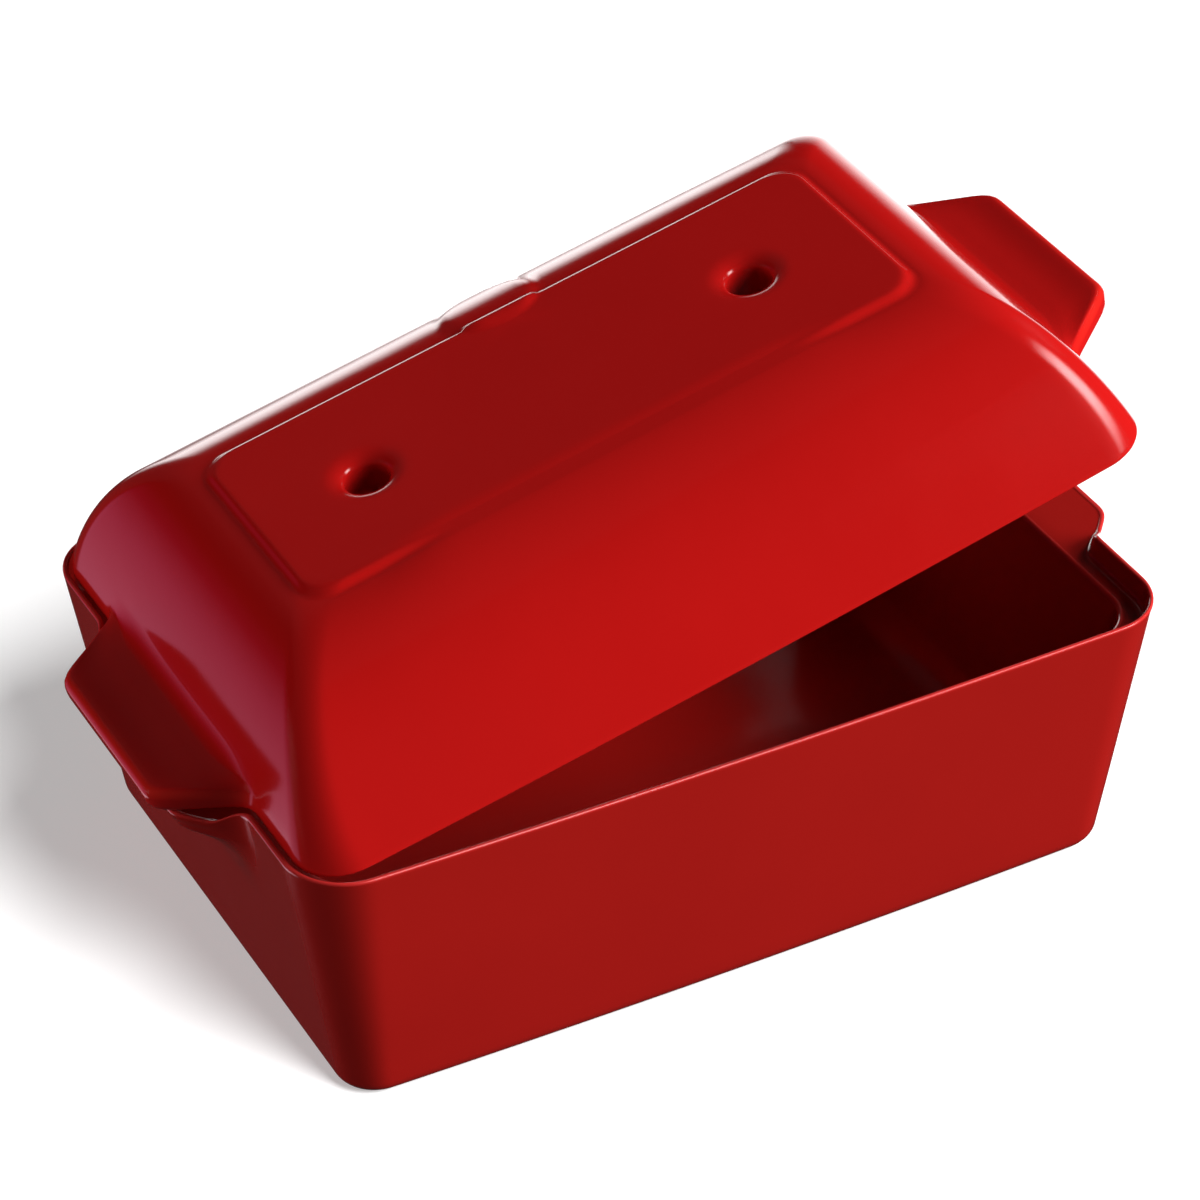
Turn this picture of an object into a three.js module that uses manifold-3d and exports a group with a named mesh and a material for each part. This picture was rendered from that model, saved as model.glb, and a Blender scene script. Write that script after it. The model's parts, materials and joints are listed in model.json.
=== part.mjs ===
// A glazed stoneware loaf baker: a pan and a domed lid, each one casting with a tab handle at both ends.
// Millimetres, +Z up, X along the length, origin at the middle of the foot.
// The lid is tipped open on its left handle.
import * as THREE from "three";
import Module from "manifold-3d";
import { mergeVertices } from "three/addons/utils/BufferGeometryUtils.js";

// Pan
const PAN_HALF_LENGTH = 119.5; // at the rim, without the handles
const PAN_HALF_WIDTH = 81;
const PAN_HEIGHT = 75;
const PAN_CORNER_RADIUS = 17;
const PAN_FOOT_CORNER_RADIUS = 10;
const SIDE_BOW = 1.2; // the long sides swell outwards in the middle
const SIDE_DRAFT = 8; // how much the long walls lean in from the rim to the foot
const END_DRAFT = 12; // and the end walls
const FOOT_RADIUS = 5; // rounding between the walls and the underside
const WALL_THICKNESS = 6.5;
const FLOOR_THICKNESS = 7;
const CAVITY_RADIUS = 9; // rounding between the cavity's floor and walls
const RIM_ROUNDING = 0.6;

// Seat for the lid inside the rim
const SEAT_DEPTH = 6;
const LID_INSET = 2.2; // from the outside of the rim to the outside of the lid
const SEAT_SIDE_CLEARANCE = 0.6;
const SEAT_GAP = 0.4; // between the seat and the closed lid

// Handles: their sides flare in plan from the flat half width to the root half width
const PAN_TAB_LENGTH = 12.5;
const PAN_TAB_FLAT = 28.7;
const PAN_TAB_ROOT = 42.7;
const PAN_TAB_THICKNESS = 6;
const TAB_ROUNDING = 0.3; // share of the flare over which its two ends are rounded
const PAN_TAB_BLEND = 24; // height over which the handle's underside runs into the wall
const LID_TAB_LENGTH = 19.4;
const LID_TAB_THICKNESS = 7;
const LID_TAB_BLEND = 13; // height over which the lid's end wall runs out into the handle
const TAB_EDGE_RADIUS = 2.6;

// Lid
const LID_HEIGHT = 40; // lower edge to the top, without the panel
const LID_CORNER_RADIUS = 14;
const LID_TOP_CORNER_RADIUS = 7;
const LID_SIDE_SHOULDER = 44.3; // how far the top lies inside the lower edge, at the sides
const LID_END_SHOULDER = 30.5; // and at the ends
const END_STEEPNESS = 1.15; // power that holds the ends out further than the sides
const LID_THICKNESS = 5.6;
const LID_TOP_THICKNESS = 10;
const PANEL_RISE = 1.7; // raised panel on the top
const PANEL_SLOPE = 4.4;
const VENT_SPACING = 108; // between the two vent holes
const VENT_RADIUS = 5.7;
const VENT_MOUTH_RADIUS = 11;
const VENT_MOUTH_DEPTH = 2.8;
const BOSS_RADIUS = 13.5; // plain round boss on the back shoulder
const BOSS_RISE = 1.1;
const BOSS_OFFSET = 39; // from the middle of the lid
const BOSS_TILT = 13; // degrees

// The lid's pose: turned about a line just above the rounding under its left handle,
// which rolls on the pan's handle as the lid tips
const LID_TILT = 13.1; // degrees from closed
const PIVOT_RISE = 1; // from the middle of that rounding

const ARC_STEPS = 7;
const BELL_STEPS = 8;
const SIDE_STEPS = 8;

const wasm = await Module();
wasm.setup();

function solidOf(geometry) {
  const plain = geometry.clone();
  plain.deleteAttribute("normal");
  plain.deleteAttribute("uv");
  const merged = mergeVertices(plain, 1e-4);
  return new wasm.Manifold(
    new wasm.Mesh({
      numProp: 3,
      vertProperties: new Float32Array(merged.attributes.position.array),
      triVerts: new Uint32Array(merged.index.array),
    }),
  );
}

function geometryOf(solid) {
  const mesh = solid.getMesh();
  const geometry = new THREE.BufferGeometry();
  geometry.setAttribute("position", new THREE.BufferAttribute(new Float32Array(mesh.vertProperties), 3));
  geometry.setIndex(new THREE.BufferAttribute(new Uint32Array(mesh.triVerts), 1));
  return geometry;
}

function smoothMin(a, b, distance) {
  const near = Math.max(distance - Math.abs(a - b), 0) / distance;
  return Math.min(a, b) - (near ** 3 * distance) / 6;
}

// 1 on the handle's end, 0 beyond its root, a straight flare with rounded ends between
function flare(y, flat, root) {
  const ramp = smoothMin((root - Math.abs(y)) / (root - flat), 1, TAB_ROUNDING);
  return -smoothMin(-ramp, 0, TAB_ROUNDING);
}

// Positions across one end, from the front corner to the back corner
function endStations(straight, flat, root) {
  const stations = [-straight, -(straight + root) / 2];
  for (let i = 0; i <= BELL_STEPS; i += 1) stations.push(-root + ((root - flat) * i) / BELL_STEPS);
  stations.push(0);
  for (let i = 0; i <= BELL_STEPS; i += 1) stations.push(flat + ((root - flat) * i) / BELL_STEPS);
  stations.push((straight + root) / 2, straight);
  return stations;
}

// Outline in plan, counter-clockwise: a rounded rectangle with swelling sides
// and a flared handle at each end
function outline(level) {
  const { halfLength, halfWidth, radius, tab = 0 } = level;
  const { flat = PAN_TAB_FLAT, root = PAN_TAB_ROOT, bow = SIDE_BOW } = level;
  const corner = Math.max(0.5, Math.min(radius, halfLength - 1, halfWidth - 1));
  const sideX = halfLength - corner;
  const endY = halfWidth - corner;
  const rounding = TAB_ROUNDING * (root - flat);
  const outer = Math.min(root + rounding, endY * 0.96);
  const inner = Math.min(flat - rounding, outer * 0.8);
  const half = [];
  for (let i = 1; i < SIDE_STEPS; i += 1) {
    const x = -sideX + (2 * sideX * i) / SIDE_STEPS;
    half.push(new THREE.Vector2(x, -halfWidth - bow * (1 - (x / sideX) ** 2)));
  }
  for (let i = 0; i <= ARC_STEPS; i += 1) {
    const angle = -Math.PI / 2 + (Math.PI / 2) * (i / ARC_STEPS);
    half.push(new THREE.Vector2(sideX + corner * Math.cos(angle), -endY + corner * Math.sin(angle)));
  }
  const stations = endStations(endY, inner, outer);
  for (const y of stations.slice(1, -1)) {
    half.push(new THREE.Vector2(halfLength + tab * flare(y, flat, root), y));
  }
  for (let i = 0; i <= ARC_STEPS; i += 1) {
    const angle = (Math.PI / 2) * (i / ARC_STEPS);
    half.push(new THREE.Vector2(sideX + corner * Math.cos(angle), endY + corner * Math.sin(angle)));
  }
  const other = half.map((point) => new THREE.Vector2(-point.x, -point.y));
  return [...half, ...other];
}

// Closed skin through outlines stacked upwards
function loft(levels) {
  const rings = levels.map((level) => ({ z: level.z, points: outline(level) }));
  const count = rings[0].points.length;
  const positions = [];
  const indices = [];
  for (const ring of rings) for (const point of ring.points) positions.push(point.x, point.y, ring.z);
  for (let r = 0; r + 1 < rings.length; r += 1) {
    for (let i = 0; i < count; i += 1) {
      const a = r * count + i;
      const b = r * count + ((i + 1) % count);
      indices.push(a, b, b + count, a, b + count, a + count);
    }
  }
  const last = (rings.length - 1) * count;
  for (const [a, b, c] of THREE.ShapeUtils.triangulateShape(rings[0].points, [])) indices.push(a, c, b);
  for (const [a, b, c] of THREE.ShapeUtils.triangulateShape(rings[rings.length - 1].points, [])) {
    indices.push(last + a, last + b, last + c);
  }
  const geometry = new THREE.BufferGeometry();
  geometry.setAttribute("position", new THREE.Float32BufferAttribute(positions, 3));
  geometry.setIndex(indices);
  return geometry;
}

// Pan
const seatLevel = PAN_HEIGHT - SEAT_DEPTH;
const tabUnderside = seatLevel - PAN_TAB_THICKNESS;

// One outline of the pan; inset is counted from the leaning outside
function panLevel(z, inset, tab = 0) {
  const below = 1 - z / PAN_HEIGHT;
  return {
    z,
    halfLength: PAN_HALF_LENGTH - END_DRAFT * below - inset,
    halfWidth: PAN_HALF_WIDTH - SIDE_DRAFT * below - inset,
    radius: THREE.MathUtils.lerp(PAN_FOOT_CORNER_RADIUS, PAN_CORNER_RADIUS, z / PAN_HEIGHT),
    tab,
  };
}

function panOutside() {
  const levels = [];
  for (let i = 0; i <= 5; i += 1) {
    const angle = (Math.PI / 2) * (i / 5);
    const z = FOOT_RADIUS * (1 - Math.cos(angle));
    levels.push(panLevel(z, FOOT_RADIUS * (1 - Math.sin(angle))));
  }
  const blendStart = tabUnderside - PAN_TAB_BLEND;
  for (const share of [0, 0.3, 0.5, 0.68, 0.82, 0.92]) {
    const z = blendStart + PAN_TAB_BLEND * share;
    levels.push(panLevel(z, 0, (PAN_TAB_LENGTH - TAB_EDGE_RADIUS) * share ** 3.2));
  }
  for (let i = 0; i <= 3; i += 1) {
    const angle = (Math.PI / 2) * (i / 3);
    const z = tabUnderside + TAB_EDGE_RADIUS * (1 - Math.cos(angle));
    levels.push(panLevel(z, 0, PAN_TAB_LENGTH - TAB_EDGE_RADIUS * (1 - Math.sin(angle))));
  }
  levels.push(panLevel(PAN_HEIGHT - RIM_ROUNDING, 0, PAN_TAB_LENGTH));
  levels.push(panLevel(PAN_HEIGHT - 0.3 * RIM_ROUNDING, 0.3 * RIM_ROUNDING, PAN_TAB_LENGTH));
  levels.push(panLevel(PAN_HEIGHT, RIM_ROUNDING, PAN_TAB_LENGTH));
  return solidOf(loft(levels));
}

function panCavity() {
  const levels = [];
  for (let i = 0; i <= 4; i += 1) {
    const angle = (Math.PI / 2) * (i / 4);
    const z = FLOOR_THICKNESS + CAVITY_RADIUS * (1 - Math.cos(angle));
    levels.push(panLevel(z, WALL_THICKNESS + CAVITY_RADIUS * (1 - Math.sin(angle))));
  }
  levels.push(panLevel(PAN_HEIGHT + 2, WALL_THICKNESS));
  for (const level of levels) level.radius -= WALL_THICKNESS / 2;
  return solidOf(loft(levels));
}

// The hollow of the seat is the lid's outline with clearance, open through the ends of the handles
function panSeat() {
  const inset = LID_INSET - SEAT_SIDE_CLEARANCE;
  const level = (z, grow) => ({
    z,
    halfLength: PAN_HALF_LENGTH - inset + grow,
    halfWidth: PAN_HALF_WIDTH - inset + grow,
    radius: LID_CORNER_RADIUS,
    tab: 2.8 * PAN_TAB_LENGTH,
    flat: PAN_TAB_FLAT - inset,
    root: PAN_TAB_ROOT - inset,
  });
  return solidOf(loft([level(seatLevel, 0), level(PAN_HEIGHT - 0.6, 0), level(PAN_HEIGHT + 2, 1)]));
}

const panSolid = panOutside().subtract(panCavity()).subtract(panSeat());

// Lid, in its own frame: lower edge at zero
const lidHalfLength = PAN_HALF_LENGTH - LID_INSET;
const lidHalfWidth = PAN_HALF_WIDTH - LID_INSET;
// Shares of the shoulder's width and height along the sides, and along the steeper ends at the same heights
const shoulder = new THREE.CubicBezierCurve(
  new THREE.Vector2(0, 0),
  new THREE.Vector2(0.22, 0.37),
  new THREE.Vector2(0.53, 0.95),
  new THREE.Vector2(1, 1),
);

function lidLevel(share, height, inset, tab, lift = 0) {
  const at = shoulder.getPoint(share);
  return {
    z: lift + at.y * height,
    halfLength: lidHalfLength - inset - at.x ** END_STEEPNESS * (LID_END_SHOULDER - inset * 0.3),
    halfWidth: lidHalfWidth - inset - at.x * (LID_SIDE_SHOULDER - inset * 0.3),
    radius: THREE.MathUtils.lerp(LID_CORNER_RADIUS, LID_TOP_CORNER_RADIUS, share) - inset * 0.4,
    tab,
    flat: PAN_TAB_FLAT - LID_INSET,
    root: PAN_TAB_ROOT - LID_INSET,
    bow: SIDE_BOW * (1 - at.x),
  };
}

// Share along the shoulder at which a height is reached
function shareAt(height) {
  let low = 0;
  let high = 1;
  for (let i = 0; i < 40; i += 1) {
    const middle = (low + high) / 2;
    if (shoulder.getPoint(middle).y * LID_HEIGHT < height) low = middle;
    else high = middle;
  }
  return (low + high) / 2;
}

function lidOutside() {
  const levels = [];
  const tabAt = (z, tab) => levels.push(lidLevel(shareAt(z), LID_HEIGHT, 0, tab));
  for (let i = 0; i <= 3; i += 1) {
    const angle = (Math.PI / 2) * (i / 3);
    tabAt(TAB_EDGE_RADIUS * (1 - Math.cos(angle)), LID_TAB_LENGTH - TAB_EDGE_RADIUS * (1 - Math.sin(angle)));
  }
  for (let i = 1; i <= 3; i += 1) {
    const angle = (Math.PI / 2) * (i / 3);
    const z = LID_TAB_THICKNESS - TAB_EDGE_RADIUS * (1 - Math.sin(angle));
    tabAt(z, LID_TAB_LENGTH - TAB_EDGE_RADIUS * (1 - Math.cos(angle)));
  }
  for (const share of [0.06, 0.16, 0.32, 0.6]) {
    tabAt(LID_TAB_THICKNESS + LID_TAB_BLEND * share, (LID_TAB_LENGTH - TAB_EDGE_RADIUS) * (1 - share) ** 6);
  }
  const first = shareAt(LID_TAB_THICKNESS + LID_TAB_BLEND);
  for (let i = 0; i <= 8; i += 1) levels.push(lidLevel(first + ((1 - first) * i) / 8, LID_HEIGHT, 0, 0));
  return solidOf(loft(levels));
}

function lidHollow() {
  const height = LID_HEIGHT - LID_TOP_THICKNESS;
  const levels = [{ ...lidLevel(0, height, LID_THICKNESS, 0), z: -1 }];
  for (let i = 1; i <= 9; i += 1) levels.push(lidLevel(i / 9, height, LID_THICKNESS, 0));
  return solidOf(loft(levels));
}

function lidPanel() {
  const top = lidLevel(1, LID_HEIGHT, 0, 0);
  const level = (z, grow) => ({
    ...top,
    z,
    halfLength: top.halfLength + grow,
    halfWidth: top.halfWidth + grow,
    radius: top.radius + grow,
  });
  return solidOf(
    loft([
      level(LID_HEIGHT - 2, 0),
      level(LID_HEIGHT, 0),
      level(LID_HEIGHT + PANEL_RISE * 0.6, -PANEL_SLOPE * 0.4),
      level(LID_HEIGHT + PANEL_RISE, -PANEL_SLOPE),
    ]),
  );
}

// One vent: a round hole with a flared mouth
function vent(x) {
  const top = LID_HEIGHT + PANEL_RISE;
  const below = top - LID_TOP_THICKNESS - 8;
  const profile = [new THREE.Vector2(0, below), new THREE.Vector2(VENT_RADIUS, below)];
  for (let i = 0; i <= 4; i += 1) {
    const angle = (Math.PI / 2) * (i / 4);
    const radius = VENT_RADIUS + (VENT_MOUTH_RADIUS - VENT_RADIUS) * (1 - Math.cos(angle));
    profile.push(new THREE.Vector2(radius, top - VENT_MOUTH_DEPTH * (1 - Math.sin(angle))));
  }
  profile.push(new THREE.Vector2(VENT_MOUTH_RADIUS, top + 2), new THREE.Vector2(0, top + 2));
  const geometry = new THREE.LatheGeometry(profile, 28);
  geometry.rotateX(Math.PI / 2);
  geometry.translate(x, 0, 0);
  return solidOf(geometry);
}

// Height of the back shoulder at a distance from the middle of the lid
function shoulderHeight(y) {
  let low = 0;
  let high = 1;
  for (let i = 0; i < 40; i += 1) {
    const middle = (low + high) / 2;
    if (lidHalfWidth - shoulder.getPoint(middle).x * LID_SIDE_SHOULDER > y) low = middle;
    else high = middle;
  }
  return shoulder.getPoint((low + high) / 2).y * LID_HEIGHT;
}

function boss() {
  const depth = LID_THICKNESS * 0.7;
  const geometry = new THREE.CylinderGeometry(BOSS_RADIUS - 1, BOSS_RADIUS, BOSS_RISE + depth, 32);
  geometry.translate(0, (BOSS_RISE - depth) / 2, 0);
  geometry.rotateX(Math.PI / 2 - THREE.MathUtils.degToRad(BOSS_TILT));
  geometry.translate(0, BOSS_OFFSET, shoulderHeight(BOSS_OFFSET) + 0.4);
  return solidOf(geometry);
}

const lidSolid = lidOutside()
  .add(lidPanel())
  .add(boss())
  .subtract(lidHollow())
  .subtract(vent(-VENT_SPACING / 2))
  .subtract(vent(VENT_SPACING / 2));

const glaze = new THREE.MeshStandardMaterial({ color: 0xa3120f, roughness: 0.14, metalness: 0 });

const pan = new THREE.Mesh(geometryOf(panSolid), glaze);
pan.name = "base_pan";

const lid = new THREE.Mesh(geometryOf(lidSolid), glaze.clone());
lid.name = "lid";

const pivotX = -(lidHalfLength + LID_TAB_LENGTH - TAB_EDGE_RADIUS);
const pivotZ = seatLevel + SEAT_GAP + TAB_EDGE_RADIUS + PIVOT_RISE;
const tipped = new THREE.Group();
tipped.position.set(pivotX, 0, pivotZ);
tipped.rotation.y = -THREE.MathUtils.degToRad(LID_TILT);
lid.position.set(-pivotX, 0, seatLevel + SEAT_GAP - pivotZ);
tipped.add(lid);

const part = new THREE.Group();
part.name = "covered_loaf_baker";
part.add(pan, tipped);
export default part;
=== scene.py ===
# %% [markdown]
# # A covered loaf baker in red glaze
#
# The real object is two stoneware castings: a deep pan, and a domed lid that is tipped open on its
# left handle. Both are dipped in a thick red glaze, so nearly everything that the eye reads is a
# reflection. The lesson builds each casting from one rule, an outline that is swept along a profile,
# and then spends its care on the glaze and on the light that the glaze mirrors.

import json
import math

import bmesh
import bpy
import numpy as np
from mathutils import Matrix, Vector


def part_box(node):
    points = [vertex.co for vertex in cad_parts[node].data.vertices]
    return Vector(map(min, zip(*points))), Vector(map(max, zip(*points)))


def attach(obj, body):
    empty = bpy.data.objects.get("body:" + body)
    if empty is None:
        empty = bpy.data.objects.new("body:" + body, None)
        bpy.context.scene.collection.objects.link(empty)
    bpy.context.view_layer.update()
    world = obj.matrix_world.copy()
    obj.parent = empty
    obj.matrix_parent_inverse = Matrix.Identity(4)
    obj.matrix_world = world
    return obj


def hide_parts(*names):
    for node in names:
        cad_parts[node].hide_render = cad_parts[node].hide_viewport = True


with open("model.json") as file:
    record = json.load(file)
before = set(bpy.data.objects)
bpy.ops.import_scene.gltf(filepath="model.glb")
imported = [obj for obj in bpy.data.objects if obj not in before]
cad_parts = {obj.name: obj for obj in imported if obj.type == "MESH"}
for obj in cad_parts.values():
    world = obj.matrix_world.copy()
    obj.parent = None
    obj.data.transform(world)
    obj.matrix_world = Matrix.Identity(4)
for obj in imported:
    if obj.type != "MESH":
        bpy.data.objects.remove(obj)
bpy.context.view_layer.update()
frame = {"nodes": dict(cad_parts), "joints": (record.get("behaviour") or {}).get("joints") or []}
scene = bpy.context.scene
MM = 0.001
hinge = frame["joints"][0]
LID_TILT = math.radians(-hinge["range_deg"][0])
hinge_line = Vector(hinge["pos_m"])
print("frame:", sorted(frame["nodes"]), "lid tipped by", round(math.degrees(LID_TILT), 2), "degrees")

# %% [markdown]
# ## Camera
#
# A long lens from the front left, high enough to look down on the lid. The angle, distance and focal
# length were found by matching straight edges of the model with the picture, so the camera is placed
# by those numbers and not by eye. A rotation matrix made from three directions keeps the small roll of
# the picture.

# %% Camera
CAMERA_AZIMUTH = math.radians(-27.615)
CAMERA_ELEVATION = math.radians(35.691)
CAMERA_ROLL = math.radians(-0.612)
CAMERA_DISTANCE = 1198.07 * MM
CAMERA_TARGET = Vector((6.114, 14.347, 57.0)) * MM
FOCAL_PIXELS = 4663.16
FRAME_PIXELS = 1200
SENSOR_WIDTH = 36

backward = Vector(
    (
        math.sin(CAMERA_AZIMUTH) * math.cos(CAMERA_ELEVATION),
        -math.cos(CAMERA_AZIMUTH) * math.cos(CAMERA_ELEVATION),
        math.sin(CAMERA_ELEVATION),
    )
)
level_right = Vector((math.cos(CAMERA_AZIMUTH), math.sin(CAMERA_AZIMUTH), 0))
level_up = backward.cross(level_right)
right = math.cos(CAMERA_ROLL) * level_right + math.sin(CAMERA_ROLL) * level_up
up = math.cos(CAMERA_ROLL) * level_up - math.sin(CAMERA_ROLL) * level_right

camera_data = bpy.data.cameras.new("studio_camera")
camera_data.sensor_width = SENSOR_WIDTH
camera_data.lens = FOCAL_PIXELS / FRAME_PIXELS * SENSOR_WIDTH
camera_data.clip_start = 0.05
camera_data.clip_end = 50
camera = bpy.data.objects.new("studio_camera", camera_data)
scene.collection.objects.link(camera)
turn = Matrix((right, up, backward)).transposed().to_4x4()
camera.matrix_world = Matrix.Translation(CAMERA_TARGET + backward * CAMERA_DISTANCE) @ turn
scene.camera = camera
print("camera: lens", round(camera_data.lens, 1), "mm at", [round(x, 3) for x in camera.location])

# %% [markdown]
# ## Floor and light
#
# The baker stands on a plain white floor. Glossy glaze shows whatever surrounds it, so the room that it
# mirrors is nearly black, and the lamps only give light: none of them is mirrored. What the glaze
# mirrors is placed on its own, as glowing panels: two white ones low behind, which draw the pale lines
# along the back edges, one at the right for the front corner, one that only the pan mirrors, for the
# line along its rim, and a rosy one behind on the left, which fills the lid's end wall.
# A photographer would flag the floor off from these lights. Light linking does the same here: the baker
# and the floor each have light of their own, so the floor can be white without washing out the red.
# The floor's is one even light from far away. The floor also glows a little, which keeps its shadow soft,
# and behind it the camera sees plain white.

# %% Floor
FLOOR_SIZE = 30.0
FLOOR_GREY = (0.6, 0.6, 0.6, 1)
FLOOR_GLOW = 0.42

floor_mesh = bpy.data.meshes.new("floor")
reach = FLOOR_SIZE / 2
floor_mesh.from_pydata(
    [(-reach, -reach, 0), (reach, -reach, 0), (reach, reach, 0), (-reach, reach, 0)], [], [(0, 1, 2, 3)]
)
floor = bpy.data.objects.new("floor", floor_mesh)
scene.collection.objects.link(floor)
floor.visible_glossy = False
floor.visible_diffuse = False
floor.visible_shadow = False

paper = bpy.data.materials.new("white_paper")
paper.use_nodes = True
paper_shader = paper.node_tree.nodes["Principled BSDF"]
paper_shader.inputs["Base Color"].default_value = FLOOR_GREY
paper_shader.inputs["Roughness"].default_value = 0.9
paper_shader.inputs["Specular IOR Level"].default_value = 0.0
paper_shader.inputs["Emission Color"].default_value = (1, 1, 1, 1)
paper_shader.inputs["Emission Strength"].default_value = FLOOR_GLOW
floor_mesh.materials.append(paper)
print("floor:", FLOOR_SIZE, "m square")

# %% Lamps
AIM = Vector((0, 0, 0.08))


def face_the_baker(thing, place):
    thing.location = place
    thing.rotation_euler = (AIM - Vector(place)).to_track_quat("-Z", "Y").to_euler()


# Each light shines on one of these sets
floor_set = bpy.data.collections.new("floor_set")
floor_set.objects.link(floor)
baker_set = bpy.data.collections.new("baker_set")
pan_set = bpy.data.collections.new("pan_set")


def lamp(name, place, size, power):
    """A soft lamp for the baker alone, seen by its light and not in reflections."""
    data = bpy.data.lights.new(name, "AREA")
    data.size = size
    data.energy = power
    light = bpy.data.objects.new(name, data)
    scene.collection.objects.link(light)
    face_the_baker(light, place)
    light.visible_camera = False
    light.visible_glossy = False
    light.light_linking.receiver_collection = baker_set
    print("lamp:", name, power, "W")


lamp("main_light", place=(2.4, -2.19, 1.19), size=3.0, power=310)
lamp("back_fill", place=(-0.5, 1.7, 1.3), size=1.2, power=4)
lamp("left_fill", place=(-1.8, 0.7, 0.08), size=1.0, power=20)
lamp("right_fill", place=(0.95, 0.1, 0.75), size=0.3, power=5)

# %% Floor light and room
FLOOR_LIGHT_FROM = (0.5, -1.6, 1.86)
FLOOR_LIGHT_STRENGTH = 7.2
FLOOR_LIGHT_ANGLE = math.radians(29)
ROOM_GREY = (0.02, 0.02, 0.02, 1)
BACKDROP_WHITE = (1, 1, 1, 1)
# A Mix node has sockets for every kind of value, and these are the ones for colours
MIX_FIRST = 6
MIX_SECOND = 7
MIX_RESULT = 2

floor_light_data = bpy.data.lights.new("floor_light", "SUN")
floor_light_data.energy = FLOOR_LIGHT_STRENGTH
floor_light_data.angle = FLOOR_LIGHT_ANGLE
floor_light = bpy.data.objects.new("floor_light", floor_light_data)
scene.collection.objects.link(floor_light)
face_the_baker(floor_light, FLOOR_LIGHT_FROM)
floor_light.light_linking.receiver_collection = floor_set

world = bpy.data.worlds.new("studio_room")
scene.world = world
world.use_nodes = True
room_nodes, room_links = world.node_tree.nodes, world.node_tree.links
in_picture = room_nodes.new("ShaderNodeLightPath").outputs["Is Camera Ray"]
backdrop = room_nodes.new("ShaderNodeMix")
backdrop.data_type = "RGBA"
backdrop.inputs[MIX_FIRST].default_value = ROOM_GREY
backdrop.inputs[MIX_SECOND].default_value = BACKDROP_WHITE
room_links.new(in_picture, backdrop.inputs["Factor"])
room_links.new(backdrop.outputs[MIX_RESULT], room_nodes["Background"].inputs["Color"])
scene.view_settings.view_transform = "Standard"
print("room: white behind the floor, nearly black in reflections")

# %% Glowing panels
HALF_WAY = 0.5


def glow_panel(name, place, size, stops, strength, soft, diffuse=True, lit=baker_set):
    """A sheet that glows in the colours of its stops from foot to head and fades out at its two sides.

    Each stop is a share of the height and a colour, and the first two are the outer ones.
    """
    width, height = size
    mesh = bpy.data.meshes.new(name)
    corners = [(-width / 2, 0, 0), (width / 2, 0, 0), (width / 2, height, 0), (-width / 2, height, 0)]
    mesh.from_pydata([(x, y - height / 2, z) for x, y, z in corners], [], [(0, 1, 2, 3)])
    sheet = bpy.data.objects.new(name, mesh)
    scene.collection.objects.link(sheet)
    face_the_baker(sheet, place)
    sheet.visible_camera = False
    sheet.visible_shadow = False
    sheet.visible_diffuse = diffuse
    sheet.light_linking.receiver_collection = lit

    material = bpy.data.materials.new(name)
    material.use_nodes = True
    nodes, links = material.node_tree.nodes, material.node_tree.links
    nodes.remove(nodes["Principled BSDF"])
    glow = nodes.new("ShaderNodeEmission")
    ramp = nodes.new("ShaderNodeValToRGB")
    for index, (share, colour) in enumerate(stops):
        # A new ramp has two stops of its own
        stop = ramp.color_ramp.elements[index] if index < 2 else ramp.color_ramp.elements.new(share)
        stop.position = share
        stop.color = (*colour, 1)
    generated = nodes.new("ShaderNodeTexCoord").outputs["Generated"]
    split = nodes.new("ShaderNodeSeparateXYZ")
    links.new(generated, split.inputs["Vector"])
    links.new(split.outputs["Y"], ramp.inputs["Fac"])
    from_side = nodes.new("ShaderNodeMath")
    from_side.operation = "PINGPONG"
    from_side.inputs[1].default_value = HALF_WAY
    links.new(split.outputs["X"], from_side.inputs[0])
    rise = nodes.new("ShaderNodeMapRange")
    rise.interpolation_type = "SMOOTHSTEP"
    rise.inputs["From Max"].default_value = soft
    rise.inputs["To Max"].default_value = strength
    links.new(from_side.outputs[0], rise.inputs["Value"])
    links.new(rise.outputs["Result"], glow.inputs["Strength"])
    links.new(ramp.outputs["Color"], glow.inputs["Color"])
    links.new(glow.outputs["Emission"], nodes["Material Output"].inputs["Surface"])
    mesh.materials.append(material)
    print("panel:", name, width, "by", height, "m")


# %% The five panels
WHITE = (1.0, 1.0, 1.0)
BLACK = (0.0, 0.0, 0.0)
WHITE_STOPS = ((0.0, WHITE), (0.68, BLACK), (0.4, WHITE))
ROUND_STOPS = ((0.0, BLACK), (1.0, BLACK), (0.35, WHITE), (0.65, WHITE))
ROSE = (1.0, 0.62, 0.72)
ROSE_STOPS = (
    (0.0, ROSE),
    (1.0, BLACK),
    (0.12, ROSE),
    (0.2, (0.36, 0.15, 0.24)),
    (0.42, (0.29, 0.08, 0.17)),
    (0.58, (0.1, 0.005, 0.03)),
    (0.7, BLACK),
)
glow_panel(
    "white_panel", place=(1.26, 1.55, -0.15), size=(2.1, 2.6), stops=WHITE_STOPS, strength=2.2, soft=0.2
)
glow_panel(
    "back_panel", place=(0.45, 1.95, 0.1), size=(1.0, 1.2), stops=ROUND_STOPS, strength=3.6, soft=0.3
)
glow_panel(
    "right_panel",
    place=(1.17, -0.85, 1.13),
    size=(1.1, 1.1),
    stops=ROUND_STOPS,
    strength=12.0,
    soft=0.4,
    diffuse=False,
)
glow_panel(
    "rim_panel",
    place=(0.78, -1.15, 1.52),
    size=(2.0, 2.0),
    stops=ROUND_STOPS,
    strength=8.0,
    soft=0.4,
    diffuse=False,
    lit=pan_set,
)
glow_panel(
    "rose_panel", place=(-1.4, 1.3, -0.05), size=(1.7, 3.47), stops=ROSE_STOPS, strength=2.2, soft=0.16
)

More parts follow.
